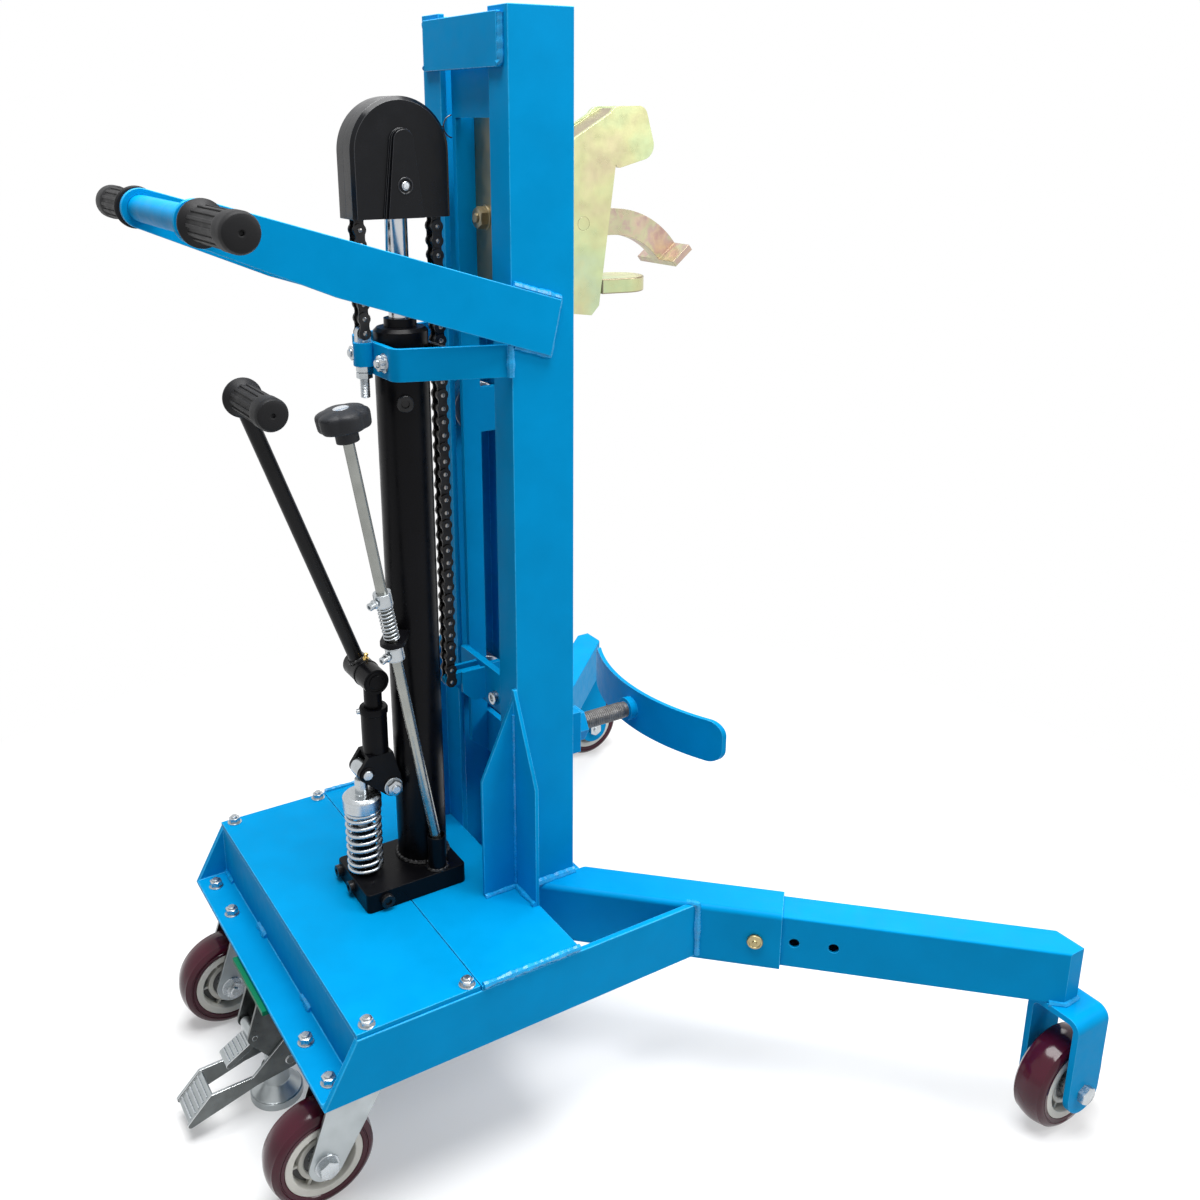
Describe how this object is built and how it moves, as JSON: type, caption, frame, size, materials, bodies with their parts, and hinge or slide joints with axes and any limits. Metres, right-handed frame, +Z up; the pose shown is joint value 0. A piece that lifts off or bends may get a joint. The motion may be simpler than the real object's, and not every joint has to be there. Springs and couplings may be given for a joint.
{
  "type": "drum handler",
  "caption": "Pedestrian drum handler with splayed telescopic legs, mast, hand-pumped chain lift, beak clamp for a drum's rim and a belly band.",
  "frame": {"origin": "floor, below the middle of the length and width", "axes": "+X forward to the drum, +Y to the operator's left, +Z up"},
  "size_m": [0.9922, 1.1774, 1.294],
  "materials": {
    "blue_paint": "satin powder coat",
    "black_paint": "satin",
    "zinc": "zinc plated",
    "yellow_zinc": "yellow passivated zinc",
    "chrome": "polished",
    "chain_steel": "oiled",
    "black_rubber": "matte",
    "black_plastic": "fine grain",
    "maroon_tyre": "satin",
    "green_paint": "satin",
    "roller_steel": "turned"
  },
  "bodies": {
    "base": {"base_frame": "blue_paint", "deck_plate": "blue_paint", "deck_cover": "blue_paint", "frame_nuts": "zinc", "leg_pins": "yellow_zinc", "leg_socket_right": "blue_paint", "leg_socket_left": "blue_paint", "lock_bracket": "green_paint", "caster_plate_right": "zinc", "caster_plate_left": "zinc", "mast_upright_right": "blue_paint", "mast_upright_left": "blue_paint", "mast_top_plate": "blue_paint", "handle_arm_right": "blue_paint", "handle_arm_left": "blue_paint", "handle_tube": "blue_paint", "handle_grip_right": "black_rubber", "handle_grip_left": "black_rubber", "lift_cylinder": "black_paint", "chain_anchor": "zinc", "chain_rear": "chain_steel", "cylinder_strap": "blue_paint", "strap_clamp": "zinc", "pump_base": "black_paint", "pump_spring": "zinc"},
    "ram": {"lift_ram": "chrome", "chain_hood_right": "black_plastic", "chain_hood_left": "black_plastic", "chain_wrap": "chain_steel"},
    "chain_wheel": {"chain_wheel": "roller_steel"},
    "carriage": {"carriage_frame": "blue_paint", "clamp_housing": "yellow_zinc", "chin_jaw": "yellow_zinc", "band_bracket": "blue_paint", "chain_front": "chain_steel"},
    "rollers_upper": {"rollers_upper": "roller_steel"},
    "rollers_lower": {"rollers_lower": "roller_steel"},
    "beak": {"beak": "yellow_zinc"},
    "band": {"belly_band": "blue_paint"},
    "rocker": {"pump_rocker": "black_paint", "handle_post": "black_paint"},
    "lever": {"pump_lever": "black_paint", "pump_grip": "black_rubber"},
    "piston": {"pump_piston": "zinc"},
    "release": {"release_rod": "zinc", "release_knob": "black_plastic", "release_spring": "zinc"},
    "lock_pedal": {"lock_pedal": "zinc"},
    "lock_release": {"lock_release": "zinc"},
    "lock_foot": {"lock_foot": "zinc"},
    "leg_right": {"leg_extension_right": "blue_paint"},
    "front_wheel_right": {"front_wheel_right": "maroon_tyre"},
    "caster_right": {"caster_fork_right": "zinc"},
    "caster_wheel_right": {"caster_wheel_right": "maroon_tyre"},
    "leg_left": {"leg_extension_left": "blue_paint"},
    "front_wheel_left": {"front_wheel_left": "maroon_tyre"},
    "caster_left": {"caster_fork_left": "zinc"},
    "caster_wheel_left": {"caster_wheel_left": "maroon_tyre"}
  },
  "joints": [
    {"name": "ram_lift", "type": "slide", "parent": "base", "child": "ram", "axis": [0, 0, 1], "range_m": [-0.04763, 0.0635], "deforming": ["chain_rear"]},
    {"name": "carriage_hoist", "type": "slide", "parent": "ram", "child": "carriage", "axis": [0, 0, 1], "range_m": [-0.04813, 0.064], "deforming": ["chain_front"]},
    {"name": "chain_wheel_spin", "type": "hinge", "parent": "ram", "child": "chain_wheel", "pos_m": [-0.16207, 0, 1.149], "axis": [0, -1, 0], "range_deg": [-62, 82]},
    {"name": "roller_upper_spin", "type": "hinge", "parent": "carriage", "child": "rollers_upper", "pos_m": [-0.03507, 0, 0.842], "axis": [0, 1, 0], "continuous": true},
    {"name": "roller_lower_spin", "type": "hinge", "parent": "carriage", "child": "rollers_lower", "pos_m": [-0.03507, 0, 0.47], "axis": [0, 1, 0], "continuous": true},
    {"name": "beak_open", "type": "hinge", "parent": "carriage", "child": "beak", "pos_m": [0.06493, 0, 1.066], "axis": [0, -1, 0], "range_deg": [0, 40]},
    {"name": "band_adjust", "type": "slide", "parent": "carriage", "child": "band", "axis": [1, 0, 0], "range_m": [-0.03, 0.02]},
    {"name": "pump_rock", "type": "hinge", "parent": "base", "child": "rocker", "pos_m": [-0.20507, 0, 0.398], "axis": [0, 1, 0], "range_deg": [-22, 0], "stiffness_Nm_per_rad": 12, "springref_deg": 22.92},
    {"name": "pump_stroke", "type": "slide", "parent": "base", "child": "piston", "axis": [0, 0, 1], "range_m": [-0.0148, 0.0002], "deforming": ["pump_spring"]},
    {"name": "lever_fold", "type": "hinge", "parent": "rocker", "child": "lever", "pos_m": [-0.21907, 0, 0.542], "axis": [0, -1, 0], "range_deg": [0, 40]},
    {"name": "release_turn", "type": "hinge", "parent": "base", "child": "release", "pos_m": [-0.16207, -0.044, 0.32145], "axis": [-0.1616, 0, 0.9869], "range_deg": [0, 120]},
    {"name": "lock_foot_lift", "type": "slide", "parent": "base", "child": "lock_foot", "axis": [0, 0, 1], "range_m": [0, 0.025]},
    {"name": "lock_pedal_lift", "type": "hinge", "parent": "base", "child": "lock_pedal", "pos_m": [-0.36507, 0, 0.066], "axis": [0, 1, 0], "range_deg": [-0.5, 35]},
    {"name": "lock_release_press", "type": "hinge", "parent": "base", "child": "lock_release", "pos_m": [-0.40507, 0, 0.112], "axis": [0, 1, 0], "range_deg": [-12, 0], "stiffness_Nm_per_rad": 0.6, "springref_deg": 17.19},
    {"name": "leg_right_extend", "type": "slide", "parent": "base", "child": "leg_right", "axis": [0.7193, -0.6947, 0], "range_m": [-0.096, 0.048]},
    {"name": "front_wheel_right_roll", "type": "hinge", "parent": "leg_right", "child": "front_wheel_right", "pos_m": [0.43257, -0.54566, 0.0635], "axis": [0, 1, 0], "continuous": true},
    {"name": "caster_right_swivel", "type": "hinge", "parent": "base", "child": "caster_right", "pos_m": [-0.34007, -0.175, 0.0635], "axis": [0, 0, 1], "continuous": true},
    {"name": "caster_wheel_right_roll", "type": "hinge", "parent": "caster_right", "child": "caster_wheel_right", "pos_m": [-0.38507, -0.175, 0.0635], "axis": [0, 1, 0], "continuous": true},
    {"name": "leg_left_extend", "type": "slide", "parent": "base", "child": "leg_left", "axis": [0.7193, 0.6947, 0], "range_m": [-0.096, 0.048]},
    {"name": "front_wheel_left_roll", "type": "hinge", "parent": "leg_left", "child": "front_wheel_left", "pos_m": [0.43257, 0.54566, 0.0635], "axis": [0, 1, 0], "continuous": true},
    {"name": "caster_left_swivel", "type": "hinge", "parent": "base", "child": "caster_left", "pos_m": [-0.34007, 0.175, 0.0635], "axis": [0, 0, 1], "continuous": true},
    {"name": "caster_wheel_left_roll", "type": "hinge", "parent": "caster_left", "child": "caster_wheel_left", "pos_m": [-0.38507, 0.175, 0.0635], "axis": [0, 1, 0], "continuous": true}
  ],
  "couplings": [
    {"joint": "carriage_hoist", "follows": "ram_lift", "ratio": 1},
    {"joint": "chain_wheel_spin", "follows": "ram_lift", "rad_per_m": 21.877},
    {"joint": "pump_stroke", "follows": "pump_rock", "m_per_rad": 0.0375},
    {"joint": "lock_pedal_lift", "follows": "lock_foot_lift", "rad_per_m": 24}
  ]
}
